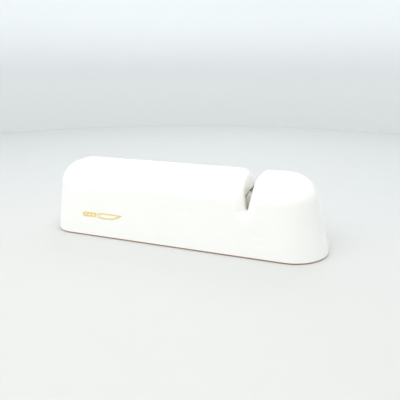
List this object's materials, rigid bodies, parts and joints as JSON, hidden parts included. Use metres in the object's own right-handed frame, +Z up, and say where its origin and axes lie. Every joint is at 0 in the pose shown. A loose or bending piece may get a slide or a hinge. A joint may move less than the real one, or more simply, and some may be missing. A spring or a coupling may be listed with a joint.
{
  "type": "roller knife sharpener",
  "caption": "Loaf-shaped hand-held sharpener: a blade pulled through the flared slot runs on two interleaved conical wheels on an axle inside.",
  "frame": {"origin": "on the surface that the sharpener stands on, under the middle of the body's length and width", "axes": "+X along the body towards the end with the blade slot, +Y from the front face to the back, +Z up"},
  "size_m": [0.17, 0.0464, 0.0433],
  "materials": {
    "housing_gloss": "glossy moulded ABS, warm white",
    "base_tint": "satin moulded plastic, orange-brown",
    "carrier_plastic": "moulded plastic, off-white",
    "hub_plastic": "moulded acetal, natural white",
    "wheel_ceramic": "fine ground ceramic, off-white",
    "pin_steel": "turned stainless steel",
    "screw_steel": "zinc-plated steel",
    "foot_rubber": "soft matt rubber"
  },
  "bodies": {
    "sharpener_body": {"housing": "housing_gloss", "base_plate": "base_tint", "base_screws": "screw_steel", "carrier_screws": "screw_steel", "wheel_carrier": "carrier_plastic", "axle": "pin_steel", "retaining_ring_left": "pin_steel", "retaining_ring_right": "pin_steel", "thrust_washer_left": "pin_steel", "thrust_washer_right": "pin_steel", "curved_washer": "pin_steel", "foot_front_left": "foot_rubber", "foot_rear_left": "foot_rubber", "foot_front_right": "foot_rubber", "foot_rear_right": "foot_rubber"},
    "left_wheel_set": {"wheel_left": "wheel_ceramic", "wheel_hub_left": "hub_plastic", "spacer_washer": "pin_steel"},
    "right_wheel_set": {"wheel_right": "wheel_ceramic", "wheel_hub_right": "hub_plastic"}
  },
  "joints": [
    {"name": "left_wheel_spin", "type": "hinge", "parent": "sharpener_body", "child": "left_wheel_set", "pos_m": [0.0405, 0, 0.0205], "axis": [1, 0, 0], "continuous": true},
    {"name": "right_wheel_spin", "type": "hinge", "parent": "sharpener_body", "child": "right_wheel_set", "pos_m": [0.0405, 0, 0.0205], "axis": [1, 0, 0], "continuous": true}
  ],
  "couplings": [
    {"joint": "right_wheel_spin", "follows": "left_wheel_spin", "ratio": 1}
  ]
}
